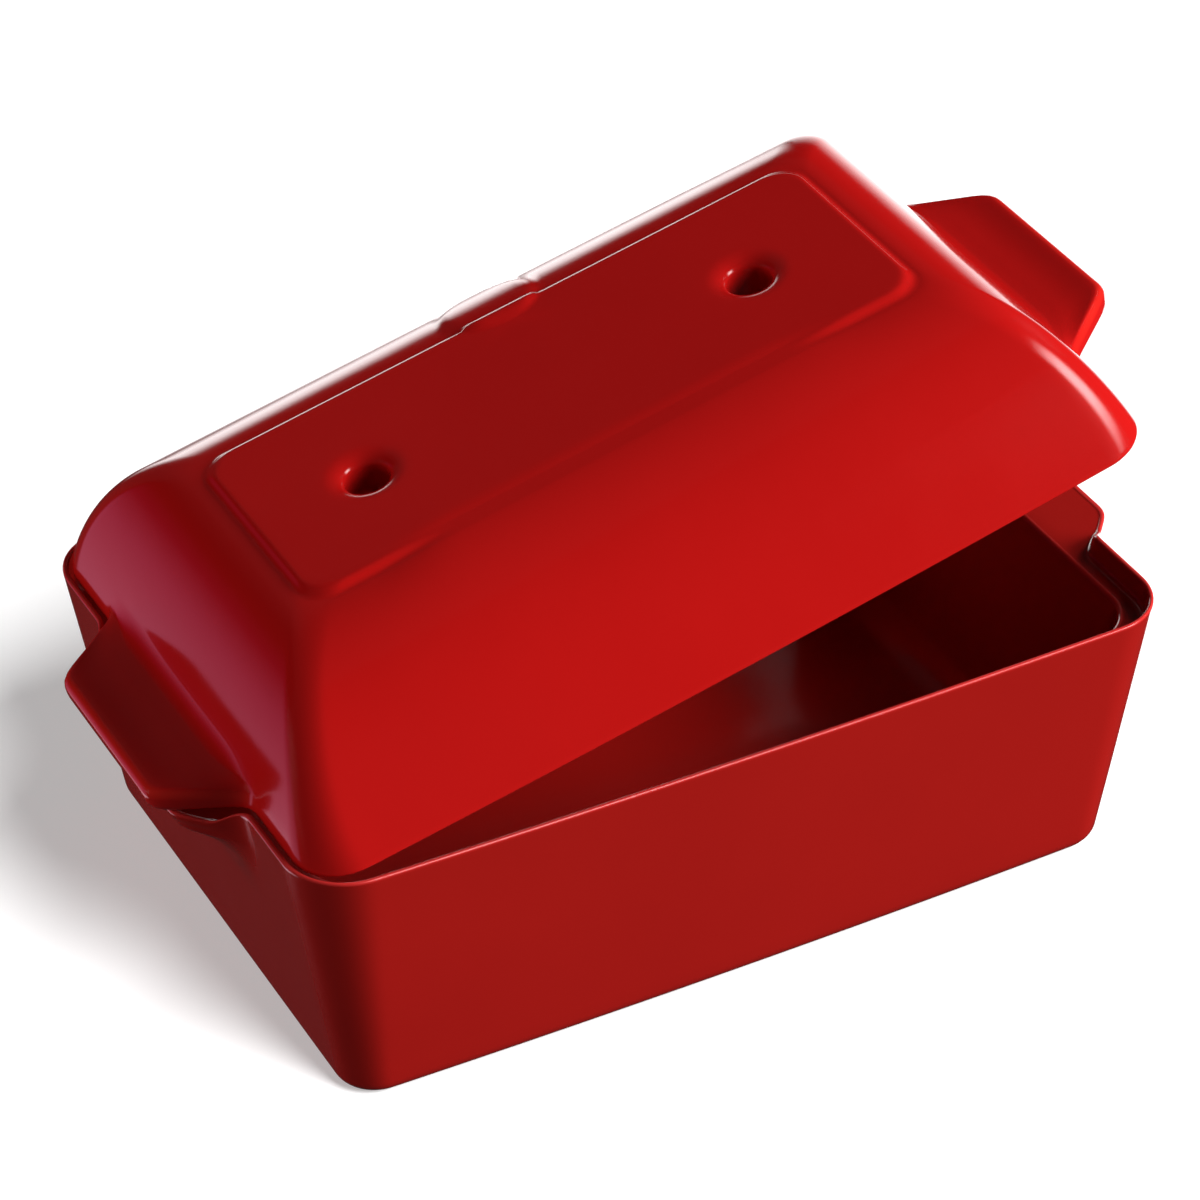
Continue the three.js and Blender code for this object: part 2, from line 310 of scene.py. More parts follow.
# %% [markdown]
# ## Glaze
#
# The glaze is a glass layer coloured deep red. It lies thick on the flats and is drawn thin over every
# edge, where the red gets a little lighter and warmer. A slow drift of colour, a faint orange-peel
# surface and roughness that varies by a few hundredths keep the reflections from looking like plastic.
# The thin places come from an attribute that the castings carry, so they follow the shape itself.
# The pan has its own copy of the glaze: its red is deeper than the lid's, which paints in the shade that
# falls on the pan, and its thin tone is lighter, which paints a highlight along its rim and other edges.

# %% Glaze material
LID_GLAZE = {
    "thick": (0.43, 0.0064, 0.0056, 1),
    "deep": (0.37, 0.0050, 0.0046, 1),
    "thin": (0.50, 0.014, 0.009, 1),
}
# The pan's copy of the glaze: the deeper red is painted shade, and the lighter thin tone is a painted
# highlight on its rim and edges
PAN_GLAZE_PAINTED_SHADE_AND_HIGHLIGHT = {
    "thick": (0.315, 0.0078, 0.0058, 1),
    "deep": (0.265, 0.0062, 0.0048, 1),
    "thin": (0.58, 0.028, 0.026, 1),
}


def glaze_material(name, tones):
    material = bpy.data.materials.new(name)
    material.use_nodes = True
    nodes, links = material.node_tree.nodes, material.node_tree.links
    shader = nodes["Principled BSDF"]
    shader.inputs["IOR"].default_value = 1.5
    place = nodes.new("ShaderNodeTexCoord").outputs["Object"]

    def noise(scale, detail):
        node = nodes.new("ShaderNodeTexNoise")
        node.inputs["Scale"].default_value = scale
        node.inputs["Detail"].default_value = detail
        links.new(place, node.inputs["Vector"])
        return node.outputs["Fac"]

    def mix(factor, first, second):
        node = nodes.new("ShaderNodeMix")
        node.data_type = "RGBA"
        links.new(factor, node.inputs["Factor"])
        for slot, value in ((MIX_FIRST, first), (MIX_SECOND, second)):
            if isinstance(value, tuple):
                node.inputs[slot].default_value = value
            else:
                links.new(value, node.inputs[slot])
        return node.outputs[MIX_RESULT]

    drift = noise(scale=14, detail=3)
    thin = nodes.new("ShaderNodeAttribute")
    thin.attribute_name = "thin"
    colour = mix(drift, tones["deep"], tones["thick"])
    links.new(mix(thin.outputs["Fac"], colour, tones["thin"]), shader.inputs["Base Color"])

    gloss = nodes.new("ShaderNodeMapRange")
    gloss.inputs["To Min"].default_value = 0.10
    gloss.inputs["To Max"].default_value = 0.16
    links.new(noise(scale=55, detail=4), gloss.inputs["Value"])
    links.new(gloss.outputs["Result"], shader.inputs["Roughness"])

    waves = nodes.new("ShaderNodeBump")
    waves.inputs["Strength"].default_value = 0.35
    waves.inputs["Distance"].default_value = 0.25 * MM
    links.new(noise(scale=48, detail=2), waves.inputs["Height"])
    peel = nodes.new("ShaderNodeBump")
    peel.inputs["Strength"].default_value = 0.12
    peel.inputs["Distance"].default_value = 0.06 * MM
    links.new(noise(scale=620, detail=2), peel.inputs["Height"])
    links.new(waves.outputs["Normal"], peel.inputs["Normal"])
    links.new(peel.outputs["Normal"], shader.inputs["Normal"])
    print("material:", material.name, len(nodes), "nodes")
    return material


lid_glaze = glaze_material("lid_glaze", LID_GLAZE)
# The pan's glaze carries painted shade in its deeper red and a painted highlight in its lighter edge tone
pan_glaze_painted_shade_and_highlight = glaze_material("pan_glaze_painted_shade_and_highlight", PAN_GLAZE_PAINTED_SHADE_AND_HIGHLIGHT)

# %% [markdown]
# ## Bare foot
#
# The underside stands in the kiln, so the glaze is wiped off it and the pale stoneware shows, with a
# fine sandy grain. It needs its own finish, because a glossy red underside would look wrong from below.

# %% Stoneware material
STONEWARE_PALE = (0.62, 0.50, 0.38, 1)
STONEWARE_DARK = (0.43, 0.33, 0.24, 1)


def stoneware_material():
    material = bpy.data.materials.new("bare_stoneware")
    material.use_nodes = True
    nodes, links = material.node_tree.nodes, material.node_tree.links
    shader = nodes["Principled BSDF"]
    shader.inputs["Roughness"].default_value = 0.85
    place = nodes.new("ShaderNodeTexCoord").outputs["Object"]
    grain = nodes.new("ShaderNodeTexNoise")
    grain.inputs["Scale"].default_value = 900
    grain.inputs["Detail"].default_value = 4
    links.new(place, grain.inputs["Vector"])
    ramp = nodes.new("ShaderNodeValToRGB")
    ramp.color_ramp.elements[0].position = 0.35
    ramp.color_ramp.elements[0].color = STONEWARE_DARK
    ramp.color_ramp.elements[1].position = 0.6
    ramp.color_ramp.elements[1].color = STONEWARE_PALE
    links.new(grain.outputs["Fac"], ramp.inputs["Fac"])
    links.new(ramp.outputs["Color"], shader.inputs["Base Color"])
    bump = nodes.new("ShaderNodeBump")
    bump.inputs["Strength"].default_value = 0.4
    bump.inputs["Distance"].default_value = 0.2 * MM
    links.new(grain.outputs["Fac"], bump.inputs["Height"])
    links.new(bump.outputs["Normal"], shader.inputs["Normal"])
    print("material:", material.name, len(nodes), "nodes")
    return material


bare_stoneware = stoneware_material()

# %% [markdown]
# ## One rule for both castings
#
# Seen from above, the pan and the lid have the same outline: a rectangle with round corners, sides that
# swell a little, and a flared handle at each end. A casting is that outline carried along a profile,
# which says for each ring how far it lies inside the largest outline and how high. The stations round
# the outline and the rings along the profile are written on a plain grid of points as attributes, and
# Geometry Nodes turn the attributes into places. Modelling by hand would give the same form, but the
# rule keeps the two castings in fit.

# %% Stations round the outline
SIDE_STEPS = 96
CORNER_STEPS = 14
END_STEPS = 84


def outline_stations():
    """Place of the corner arc's centre as a share of its largest place, and the arc's turn, once round."""
    stations = []

    def side(start, stop, steps, core_y, angle):
        for i in range(steps):
            stations.append((start + (stop - start) * i / steps, core_y, angle))

    def corner(core_x, core_y, angle):
        for i in range(CORNER_STEPS):
            stations.append((core_x, core_y, angle + math.pi / 2 * i / CORNER_STEPS))

    def end(core_x, start, stop, angle):
        for i in range(END_STEPS):
            stations.append((core_x, start + (stop - start) * i / END_STEPS, angle))

    side(0, 1, SIDE_STEPS // 2, -1, -math.pi / 2)
    corner(1, -1, -math.pi / 2)
    end(1, -1, 1, 0)
    corner(1, 1, 0)
    side(1, -1, SIDE_STEPS, 1, math.pi / 2)
    corner(-1, 1, math.pi / 2)
    end(-1, 1, -1, math.pi)
    corner(-1, -1, math.pi)
    side(-1, 0, SIDE_STEPS // 2, -1, -math.pi / 2)
    return np.array(stations)


STATIONS = outline_stations()
print("outline:", len(STATIONS), "stations")

# %% A grid of points that carries stations and rings
RING_VALUES = {
    "end_inset": 0.0,  # inwards at the two ends
    "side_inset": 0.0,  # inwards at the two long sides
    "corner": 0.0,  # radius of the corners
    "height": 0.0,
    "tab": 0.0,  # outwards at the handles
    "lift": 0.0,  # upwards at the handles
    "sink": 0.0,  # upwards, or downwards if negative, and all of it soon after the handle's root
    "bow": 1.0,  # share of the swelling of the long sides
    "gather": 0.0,  # share by which the ring is drawn in to the middle
    "sharp": 0.0,  # share of the panel's rise where its step is crisp
    "soft": 0.0,  # share of the panel's rise where its step is soft
    "boss": 0.0,  # share of the boss
    "thin": 0.0,  # how thin the glaze lies
    "bare": 0.0,  # 1 where there is no glaze
}


def ring(**values):
    """One ring of a profile: what isn't named keeps its usual value."""
    return {**RING_VALUES, **values}


def grid_mesh(name, rows, columns):
    """Rows of points joined into four-sided faces, each row closed into a loop."""
    mesh = bpy.data.meshes.new(name)
    faces = []
    for row in range(rows - 1):
        for column in range(columns):
            beside = (column + 1) % columns
            low, high = row * columns, (row + 1) * columns
            faces.append((low + column, low + beside, high + beside, high + column))
    mesh.from_pydata(np.zeros((rows * columns, 3)).tolist(), [], faces)
    return mesh


def write_attribute(mesh, name, values):
    attribute = mesh.attributes.new(name, "FLOAT", "POINT")
    attribute.data.foreach_set("value", np.asarray(values, np.float32).ravel())


def sweep_grid(name, rings, fade, thin_share):
    mesh = grid_mesh(name, len(rings), len(STATIONS))
    for index, key in enumerate(("core_x", "core_y", "turn")):
        write_attribute(mesh, key, np.tile(STATIONS[:, index], len(rings)))
    write_attribute(mesh, "fade", np.tile(fade, len(rings)))
    for key in RING_VALUES:
        station_share = thin_share if key == "thin" else np.ones(len(STATIONS))
        write_attribute(mesh, key, np.outer([one[key] for one in rings], station_share))
    return mesh


# %% [markdown]
# A node tree is easier to read when its sums are written as sums. The small class below wraps one value
# of a tree, and adding or multiplying two of them places a Math node and links it.

# %% Sums inside a node tree


class Term:
    def __init__(self, tree, socket):
        self.tree = tree
        self.socket = socket

    def math(self, operation, *others):
        node = self.tree.nodes.new("ShaderNodeMath")
        node.operation = operation
        self.tree.links.new(self.socket, node.inputs[0])
        for slot, other in enumerate(others, start=1):
            if isinstance(other, Term):
                self.tree.links.new(other.socket, node.inputs[slot])
            else:
                node.inputs[slot].default_value = other
        return Term(self.tree, node.outputs[0])

    def __add__(self, other):
        return self.math("ADD", other)

    def __sub__(self, other):
        return self.math("SUBTRACT", other)

    def __mul__(self, other):
        return self.math("MULTIPLY", other)

    def __truediv__(self, other):
        return self.math("DIVIDE", other)

    def smooth(self, low, high):
        """0 below low, 1 above high, and an even S between."""
        node = self.tree.nodes.new("ShaderNodeMapRange")
        node.interpolation_type = "SMOOTHSTEP"
        node.inputs["From Min"].default_value = low
        node.inputs["From Max"].default_value = high
        self.tree.links.new(self.socket, node.inputs["Value"])
        return Term(self.tree, node.outputs["Result"])


def new_tree(name, sizes):
    """A Geometry Nodes tree with geometry, one number per size, and two materials as inputs."""
    tree = bpy.data.node_groups.new(name, "GeometryNodeTree")
    tree.interface.new_socket("Geometry", in_out="OUTPUT", socket_type="NodeSocketGeometry")
    tree.interface.new_socket("Geometry", in_out="INPUT", socket_type="NodeSocketGeometry")
    for size in sizes:
        tree.interface.new_socket(size, in_out="INPUT", socket_type="NodeSocketFloat")
    for finish in ("Finish", "Bare Finish"):
        tree.interface.new_socket(finish, in_out="INPUT", socket_type="NodeSocketMaterial")
    source = tree.nodes.new("NodeGroupInput")
    result = tree.nodes.new("NodeGroupOutput")
    return tree, source, result


def attribute_term(tree, name):
    node = tree.nodes.new("GeometryNodeInputNamedAttribute")
    node.data_type = "FLOAT"
    node.inputs["Name"].default_value = name
    return Term(tree, node.outputs["Attribute"])


# %% The sweep tree
SWEEP_SIZES = (
    "Half Length",
    "Half Width",
    "Side Bow",
    "Handle Flat",
    "Handle Root",
    "Handle Rounding",
    "Panel Rise",
    "Boss Radius",
    "Boss Offset",
    "Boss Rise",
)
SINK_SPEED = 2.2
BOSS_EDGE = 2.2 * MM
WELD_DISTANCE = 1e-6
HALF_BARE = 0.5


def sweep_tree():
    tree, source, result = new_tree("casting_sweep", SWEEP_SIZES)
    size = {name: Term(tree, source.outputs[name]) for name in SWEEP_SIZES}
    at = {name: attribute_term(tree, name) for name in ("core_x", "core_y", "turn", "fade", *RING_VALUES)}
    east, north = at["turn"].math("COSINE"), at["turn"].math("SINE")

    # The outline: a corner arc about its centre, plus the swelling of the long sides
    length = size["Half Length"] - at["end_inset"] - at["corner"]
    width = size["Half Width"] - at["side_inset"] - at["corner"]
    swell = (at["core_x"] * at["core_x"]).math("MULTIPLY_ADD", -1.0, 1.0) * size["Side Bow"] * at["bow"]
    y = at["core_y"] * width + north * at["corner"] + swell * north
    ramp = (size["Handle Root"] - y.math("ABSOLUTE")) / (size["Handle Root"] - size["Handle Flat"])
    rounding = size["Handle Rounding"]
    flare = ramp.math("SMOOTH_MIN", 1.0, rounding).math("SMOOTH_MAX", 0.0, rounding)
    x = at["core_x"] * length + east * at["corner"] + at["tab"] * flare * east
    sunk = (flare * SINK_SPEED).math("SMOOTH_MIN", 1.0, rounding)

    # The height: the ring's own, the handle's, the raised panel's and the boss's
    step = at["sharp"] + (at["soft"] - at["sharp"]) * at["fade"]
    from_boss = (x * x + (y - size["Boss Offset"]) * (y - size["Boss Offset"])).math("SQRT")
    edge = (size["Boss Radius"] - from_boss).smooth(0.0, BOSS_EDGE)
    z = at["height"] + at["lift"] * flare + at["sink"] * sunk
    z = z + step * size["Panel Rise"] + edge * size["Boss Rise"] * at["boss"]

    spread = at["gather"].math("MULTIPLY_ADD", -1.0, 1.0)
    point = tree.nodes.new("ShaderNodeCombineXYZ")
    for socket, term in zip(point.inputs, (x * spread, y * spread, z)):
        tree.links.new(term.socket, socket)

    place = tree.nodes.new("GeometryNodeSetPosition")
    weld = tree.nodes.new("GeometryNodeMergeByDistance")
    weld.inputs["Distance"].default_value = WELD_DISTANCE
    real = tree.nodes.new("GeometryNodeRealizeInstances")
    glazed = tree.nodes.new("GeometryNodeSetMaterial")
    wiped = tree.nodes.new("GeometryNodeSetMaterial")
    is_bare = at["bare"].math("GREATER_THAN", HALF_BARE)
    tree.links.new(source.outputs["Geometry"], place.inputs["Geometry"])
    tree.links.new(point.outputs["Vector"], place.inputs["Position"])
    tree.links.new(place.outputs["Geometry"], weld.inputs["Geometry"])
    tree.links.new(weld.outputs["Geometry"], real.inputs["Geometry"])
    tree.links.new(real.outputs["Geometry"], glazed.inputs["Geometry"])
    tree.links.new(source.outputs["Finish"], glazed.inputs["Material"])
    tree.links.new(glazed.outputs["Geometry"], wiped.inputs["Geometry"])
    tree.links.new(is_bare.socket, wiped.inputs["Selection"])
    tree.links.new(source.outputs["Bare Finish"], wiped.inputs["Material"])
    tree.links.new(wiped.outputs["Geometry"], result.inputs["Geometry"])
    print("tree:", tree.name, len(tree.nodes), "nodes")
    return tree


casting_sweep = sweep_tree()

# %% From a tree to a plain mesh
SEAM_DISTANCE = 2e-6
SLIVER_LENGTH = 1e-7


def grow(name, grid, tree, sizes, glaze):
    """Runs a tree on a grid and returns the result as a plain mesh."""
    carrier = bpy.data.objects.new(name + "_carrier", grid)
    scene.collection.objects.link(carrier)
    modifier = carrier.modifiers.new("grow", "NODES")
    modifier.node_group = tree
    values = {**sizes, "Finish": glaze, "Bare Finish": bare_stoneware}
    for socket in tree.interface.items_tree:
        if socket.in_out == "INPUT" and socket.name in values:
            modifier[socket.identifier] = values[socket.name]
    depsgraph = bpy.context.evaluated_depsgraph_get()
    mesh = bpy.data.meshes.new_from_object(carrier.evaluated_get(depsgraph))
    mesh.name = name
    bpy.data.objects.remove(carrier)
    return mesh


def finish_piece(name, mesh, body, node):
    """Closes the seams, turns every face outwards and hands the piece to its body."""
    work = bmesh.new()
    work.from_mesh(mesh)
    bmesh.ops.remove_doubles(work, verts=work.verts, dist=SEAM_DISTANCE)
    bmesh.ops.dissolve_degenerate(work, edges=work.edges, dist=SLIVER_LENGTH)
    bmesh.ops.recalc_face_normals(work, faces=work.faces)
    for face in work.faces:
        face.smooth = True
    open_edges = sum(1 for edge in work.edges if len(edge.link_faces) != 2)
    if work.calc_volume(signed=True) < 0:
        bmesh.ops.reverse_faces(work, faces=work.faces)
    volume = work.calc_volume()
    work.to_mesh(mesh)
    work.free()
    piece = bpy.data.objects.new(name, mesh)
    scene.collection.objects.link(piece)
    baker_set.objects.link(piece)
    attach(piece, body)
    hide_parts(node)
    triangles = sum(len(p.vertices) - 2 for p in mesh.polygons)
    print(name, ":", triangles, "triangles,", open_edges, "open edges,", round(volume * 1e6), "cubic cm")
    return piece


# %% [markdown]
# ## The pan
#
# The pan's profile starts in the middle of the foot, turns up through a round heel, climbs the leaning
# wall, folds over the thin lip and steps down to the seat on which the lid lies. Then it goes down the
# inside to the floor. At the handles the wall sweeps outwards and the lip sinks into the seat, so that
# the lid's handle can lie flat there. One profile with a handle share in each ring gives that soft
# sweep, which separate blocks would not.

# %% Pan sizes
PAN_HALF_LENGTH = 119.5
PAN_HALF_WIDTH = 81.0
PAN_HEIGHT = 75.0
PAN_CORNER = 17.0
PAN_FOOT_CORNER = 10.0
SIDE_BOW = 1.2
SIDE_DRAFT = 8.0
END_DRAFT = 12.0
FOOT_RADIUS = 5.0
WALL_THICKNESS = 6.5
FLOOR_THICKNESS = 7.0
CAVITY_RADIUS = 9.0
SEAT_DEPTH = 6.0
LIP_WIDTH = 1.6
LIP_RADIUS = 0.75
LIP_REST = 0.18
LIP_CORNER_TIGHTER = 1.6
SEAT_EDGE_RADIUS = 1.2
HANDLE_FLAT = 28.7
HANDLE_ROOT = 42.7
HANDLE_ROUNDING = 0.3
PAN_HANDLE_LENGTH = 12.5
PAN_HANDLE_THICKNESS = 6.0
PAN_HANDLE_SWEEP = 24.0
HANDLE_EDGE_RADIUS = 2.6
HANDLE_EDGE_START = math.radians(34)
SEAT_LEVEL = PAN_HEIGHT - SEAT_DEPTH


def quarter(steps):
    """Angles of a quarter turn, both ends included."""
    return [math.pi / 2 * i / steps for i in range(steps + 1)]


def shares(steps):
    """Even shares from the first step up to 1."""
    return [i / steps for i in range(1, steps + 1)]


def pan_ring(height, inset, tighter=0.0, **values):
    """A ring of the pan in millimetres, whose inset is counted from the leaning wall."""
    share = height / PAN_HEIGHT
    end_lean = END_DRAFT * (1 - share) + inset
    side_lean = SIDE_DRAFT * (1 - share) + inset
    corner = PAN_FOOT_CORNER + (PAN_CORNER - PAN_FOOT_CORNER) * share - min(inset, WALL_THICKNESS) / 2
    corner -= tighter
    scaled = {key: values[key] * MM for key in ("tab", "sink") if key in values}
    lengths = {"end_inset": end_lean, "side_inset": side_lean, "corner": corner, "height": height}
    return ring(**{**values, **scaled, **{key: value * MM for key, value in lengths.items()}})


# %% Pan profile: outside
GATHERS = (1.0, 0.75, 0.5, 0.25, 0.06, 0.02)
HEEL_STEPS = 10
WALL_STEPS = 9
SWEEP_STEPS = 20
HANDLE_EDGE_STEPS = 6

pan_rings = []
for gather in (*GATHERS, 0.0):
    pan_rings.append(pan_ring(0.0, FOOT_RADIUS, gather=gather, bare=1.0))
for angle in quarter(HEEL_STEPS):
    height = FOOT_RADIUS * (1 - math.cos(angle))
    pan_rings.append(pan_ring(height, FOOT_RADIUS * (1 - math.sin(angle))))

handle_underside = SEAT_LEVEL - PAN_HANDLE_THICKNESS
sweep_start = handle_underside - PAN_HANDLE_SWEEP
for share in shares(WALL_STEPS):
    pan_rings.append(pan_ring(FOOT_RADIUS + (sweep_start - FOOT_RADIUS) * share, 0.0))


def handle_edge(angle):
    """Height and reach of the rounded lower edge of the handle at an angle of its arc."""
    height = handle_underside + HANDLE_EDGE_RADIUS * (1 - math.cos(angle))
    return height, PAN_HANDLE_LENGTH - HANDLE_EDGE_RADIUS * (1 - math.sin(angle))


edge_height, edge_tab = handle_edge(HANDLE_EDGE_START)
# The sweep leaves the wall upright and arrives with the slope at which the edge begins
sweep_power = (edge_height - sweep_start) / (math.tan(HANDLE_EDGE_START) * edge_tab)
for share in shares(SWEEP_STEPS)[:-1]:
    height = sweep_start + (edge_height - sweep_start) * share
    pan_rings.append(pan_ring(height, 0.0, tab=edge_tab * share**sweep_power))
for share in (0.0, *shares(HANDLE_EDGE_STEPS)):
    height, tab = handle_edge(HANDLE_EDGE_START + (math.pi / 2 - HANDLE_EDGE_START) * share)
    pan_rings.append(pan_ring(height, 0.0, tab=tab))

# %% Pan profile: lip
LIP_SIDE = 0.8
LIP_OUTER_STEPS = 6
LIP_INNER_STEPS = 5
# Rings up the outside: share of the climb at the handle, and height above the seat elsewhere
LIP_OUTSIDE = ((0.35, -0.6), (0.65, 1.2))
# Rings of the hollow corner at the lip's inner foot: height above the seat, and distance from the lip
LIP_INNER_CORNER = ((1.3, 0.0), (0.5, 0.2), (0.1, 0.6))


def lip_ring(height, inset, handle_height, thin=0.0):
    """A ring of the lip, which sinks over the handles so that the lid's handle passes above it."""
    tighter = LIP_CORNER_TIGHTER * min(1.0, inset / LIP_WIDTH)
    sink = handle_height - height
    return pan_ring(height, inset, tighter=tighter, tab=PAN_HANDLE_LENGTH, sink=sink, thin=thin)


lip_top = SEAT_LEVEL + LIP_REST
lip_foot = PAN_HEIGHT - LIP_RADIUS - LIP_SIDE
handle_side = handle_underside + HANDLE_EDGE_RADIUS
side_rise = lip_top - (PAN_HEIGHT - lip_foot) - handle_side
for share, above in (*LIP_OUTSIDE, (1.0, lip_foot - SEAT_LEVEL)):
    pan_rings.append(lip_ring(SEAT_LEVEL + above, 0.0, handle_side + side_rise * share))
# On the pan the thin tone is lightened, so the thin glaze over the lip's rounding also paints a highlight
# along the rim
for angle in quarter(LIP_OUTER_STEPS):
    drop = LIP_RADIUS * (1 - math.sin(angle))
    inset = LIP_RADIUS * (1 - math.cos(angle))
    pan_rings.append(lip_ring(PAN_HEIGHT - drop, inset, lip_top - drop, thin=math.sin(angle)))
for angle in quarter(LIP_INNER_STEPS)[1:]:
    drop = LIP_RADIUS * (1 - math.cos(angle))
    inset = LIP_WIDTH - LIP_RADIUS * (1 - math.sin(angle))
    handle_height = SEAT_LEVEL + LIP_REST * math.cos(angle)
    pan_rings.append(lip_ring(PAN_HEIGHT - drop, inset, handle_height, thin=math.cos(angle)))
for above, beyond in LIP_INNER_CORNER:
    pan_rings.append(lip_ring(SEAT_LEVEL + above, LIP_WIDTH + beyond, SEAT_LEVEL))

# %% Pan profile: seat and inside
SEAT_FLAT = 2.4
SEAT_HANDLE_SHARE = 0.92
SEAT_EDGE_THIN = 0.7
SEAT_STEPS = 4
SEAT_EDGE_STEPS = 5
CAVITY_STEPS = 12
CAVITY_EDGE_STEPS = 9

seat_edge = WALL_THICKNESS - SEAT_EDGE_RADIUS
seat_reach = PAN_HANDLE_LENGTH * SEAT_HANDLE_SHARE
for share in reversed((0.0, *shares(SEAT_STEPS))):
    pan_rings.append(pan_ring(SEAT_LEVEL, seat_edge - SEAT_FLAT * share, tab=seat_reach * share))
# The seat's edge takes the pan's lightened thin tone too, so it carries a painted highlight as well
for angle in quarter(SEAT_EDGE_STEPS)[1:]:
    height = SEAT_LEVEL - SEAT_EDGE_RADIUS * (1 - math.cos(angle))
    inset = WALL_THICKNESS - SEAT_EDGE_RADIUS * (1 - math.sin(angle))
    pan_rings.append(pan_ring(height, inset, thin=SEAT_EDGE_THIN * math.cos(angle)))
cavity_bottom = FLOOR_THICKNESS + CAVITY_RADIUS
cavity_top = SEAT_LEVEL - SEAT_EDGE_RADIUS
for share in shares(CAVITY_STEPS):
    pan_rings.append(pan_ring(cavity_top + (cavity_bottom - cavity_top) * share, WALL_THICKNESS))
for angle in reversed(quarter(CAVITY_EDGE_STEPS)[:-1]):
    height = FLOOR_THICKNESS + CAVITY_RADIUS * (1 - math.cos(angle))
    pan_rings.append(pan_ring(height, WALL_THICKNESS + CAVITY_RADIUS * (1 - math.sin(angle))))
for gather in reversed(GATHERS):
    pan_rings.append(pan_ring(FLOOR_THICKNESS, WALL_THICKNESS + CAVITY_RADIUS, gather=gather))
print("pan profile:", len(pan_rings), "rings")

# %% Pan
no_fade = np.zeros(len(STATIONS))
thin_all_round = np.ones(len(STATIONS))
pan_sizes = {
    "Half Length": PAN_HALF_LENGTH * MM,
    "Half Width": PAN_HALF_WIDTH * MM,
    "Side Bow": SIDE_BOW * MM,
    "Handle Flat": HANDLE_FLAT * MM,
    "Handle Root": HANDLE_ROOT * MM,
    "Handle Rounding": HANDLE_ROUNDING,
    "Boss Radius": 0.0,
    "Boss Rise": 0.0,
}
pan_grid = sweep_grid("pan_grid", pan_rings, no_fade, thin_all_round)
pan_mesh = grow("pan", pan_grid, casting_sweep, pan_sizes, pan_glaze_painted_shade_and_highlight)
pan = finish_piece("glazed_pan", pan_mesh, "pan", "base_pan")
pan_set.objects.link(pan)

# %% [markdown]
# ## The lid
#
# The lid is swept by the same rule. Its profile runs from the ceiling of the hollow down the inside,
# round the lower edge, out over the handle, and up the long soft shoulder to the raised panel. The step
# round the panel is crisp at the ends, the back and the corners, and melts away along the middle of the
# front, so each ring carries a crisp height and a soft one, and the station says which to use. A low
# plain boss on the back shoulder is part of the sum.

# %% Lid sizes
LID_INSET = 2.2
LID_HALF_LENGTH = PAN_HALF_LENGTH - LID_INSET
LID_HALF_WIDTH = PAN_HALF_WIDTH - LID_INSET
LID_HEIGHT = 40.0
LID_CORNER = 14.0
LID_TOP_CORNER = 7.0
LID_SIDE_SHOULDER = 44.3
LID_END_SHOULDER = 30.5
LID_END_POWER = 1.15
LID_THICKNESS = 5.6
LID_TOP_THICKNESS = 10.0
LID_EDGE_RADIUS = 1.4
LID_HANDLE_LENGTH = 19.4
LID_HANDLE_THICKNESS = 7.0
LID_HANDLE_FILLET = 4.5
LID_HANDLE_DISH = 0.5
PANEL_RISE = 1.7
PANEL_STEP = 4.6
PANEL_STEEPNESS = 2.7
VENT_SPACING = 108.0
VENT_RADIUS = 5.7
VENT_MOUTH_RADIUS = 11.0
VENT_MOUTH_DEPTH = 2.8
VENT_PATCH = (74.0, 26.0, 8.0)
BOSS_RADIUS = 13.5
BOSS_OFFSET = 39.0
BOSS_RISE = 1.1
SEAT_GAP = 0.4

# %% The shoulder curve
# Four points of a cubic curve: how far in and how high the shoulder is, as shares
SHOULDER = np.array(((0, 0), (0.22, 0.37), (0.53, 0.95), (1, 1)), float)
HALVINGS = 40
LID_CORNER_POWER = 3
# Shares of the wall's thickness that come off the hollow's shoulder and off its corners
WALL_FROM_SHOULDER = 0.3
WALL_FROM_CORNER = 0.4


def shoulder_at(share):
    """How far in and how high the shoulder is at a share of the curve."""
    rest = 1 - share
    weights = (rest**3, 3 * rest**2 * share, 3 * rest * share**2, share**3)
    return np.array(weights) @ SHOULDER


def share_at(height):
    """Share along the shoulder at which a height, as a share, is reached."""
    low, high = 0.0, 1.0
    for _ in range(HALVINGS):
        middle = (low + high) / 2
        if shoulder_at(middle)[1] < height:
            low = middle
        else:
            high = middle
    return low


def lid_ring(share, total, wall, **values):
    """A ring of the lid in millimetres at a share of the shoulder, whose whole height is total.

    The wall is the distance inside the outer skin, and a value named more_ adds to the length it names.
    """
    inwards, upwards = shoulder_at(share)
    round_corner = (LID_CORNER - LID_TOP_CORNER) * (1 - share) ** LID_CORNER_POWER
    lengths = {
        "end_inset": wall + inwards**LID_END_POWER * (LID_END_SHOULDER - wall * WALL_FROM_SHOULDER),
        "side_inset": wall + inwards * (LID_SIDE_SHOULDER - wall * WALL_FROM_SHOULDER),
        "corner": LID_TOP_CORNER + round_corner - wall * WALL_FROM_CORNER,
        "height": upwards * total,
        "tab": 0.0,
    }
    for key in lengths:
        lengths[key] = (lengths[key] + values.pop("more_" + key, 0.0)) * MM
    return ring(**lengths, bow=1 - inwards, **values)


# %% Lid profile: hollow and lower edge
CEILING_SHARES = (1.0, 0.6, 0.3)
HOLLOW_STEPS = 28
LOWER_EDGE_STEPS = 4
UNDERSIDE_STEPS = 4

ceiling = LID_HEIGHT - LID_TOP_THICKNESS
patch_length, patch_width, patch_corner = VENT_PATCH


def patch_ring(height, **values):
    """The ring round the opening that the sheet with the vents closes."""
    return ring(
        end_inset=(LID_HALF_LENGTH - patch_length) * MM,
        side_inset=(LID_HALF_WIDTH - patch_width) * MM,
        corner=patch_corner * MM,
        height=height * MM,
        **values,
    )


def ring_between(first, second, share):
    return {key: first[key] + (second[key] - first[key]) * share for key in first}


